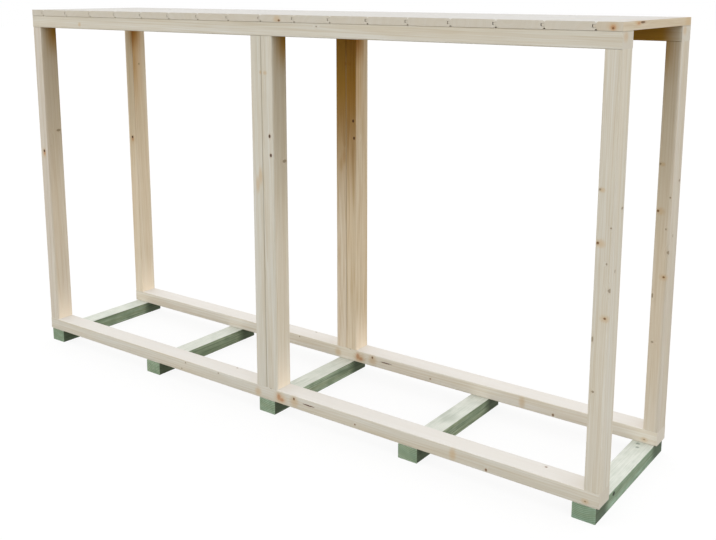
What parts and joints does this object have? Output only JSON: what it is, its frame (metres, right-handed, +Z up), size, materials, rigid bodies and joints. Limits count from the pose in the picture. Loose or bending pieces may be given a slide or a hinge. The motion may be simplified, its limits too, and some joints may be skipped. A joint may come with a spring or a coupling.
{
  "type": "open log store",
  "caption": "Long open timber log store: upright front and back frames on treated ground bearers, under a level roof of tongue-and-groove boards.",
  "frame": {"origin": "ground level, in the middle of the footprint", "axes": "+X along the store to the right as seen from the front, +Y to the back, +Z up"},
  "size_m": [2.329, 0.511, 1.318],
  "materials": {
    "planed_softwood": "planed, untreated",
    "treated_softwood": "planed, green pressure-treated"
  },
  "bodies": {
    "root": {"ground_bearer_1": "treated_softwood", "ground_bearer_2": "treated_softwood", "ground_bearer_3": "treated_softwood", "ground_bearer_4": "treated_softwood", "ground_bearer_5": "treated_softwood", "front_bottom_rail": "planed_softwood", "front_top_rail": "planed_softwood", "front_left_post": "planed_softwood", "front_middle_post_left": "planed_softwood", "front_middle_post_right": "planed_softwood", "front_right_post": "planed_softwood", "back_bottom_rail": "planed_softwood", "back_top_rail": "planed_softwood", "back_left_post": "planed_softwood", "back_middle_post_left": "planed_softwood", "back_middle_post_right": "planed_softwood", "back_right_post": "planed_softwood", "roof_board_01": "planed_softwood", "roof_board_02": "planed_softwood", "roof_board_03": "planed_softwood", "roof_board_04": "planed_softwood", "roof_board_05": "planed_softwood", "roof_board_06": "planed_softwood", "roof_board_07": "planed_softwood", "roof_board_08": "planed_softwood", "roof_board_09": "planed_softwood", "roof_board_10": "planed_softwood", "roof_board_11": "planed_softwood", "roof_board_12": "planed_softwood", "roof_board_13": "planed_softwood", "roof_board_14": "planed_softwood", "roof_board_15": "planed_softwood", "roof_board_16": "planed_softwood", "roof_board_17": "planed_softwood", "roof_board_18": "planed_softwood"}
  },
  "joints": []
}
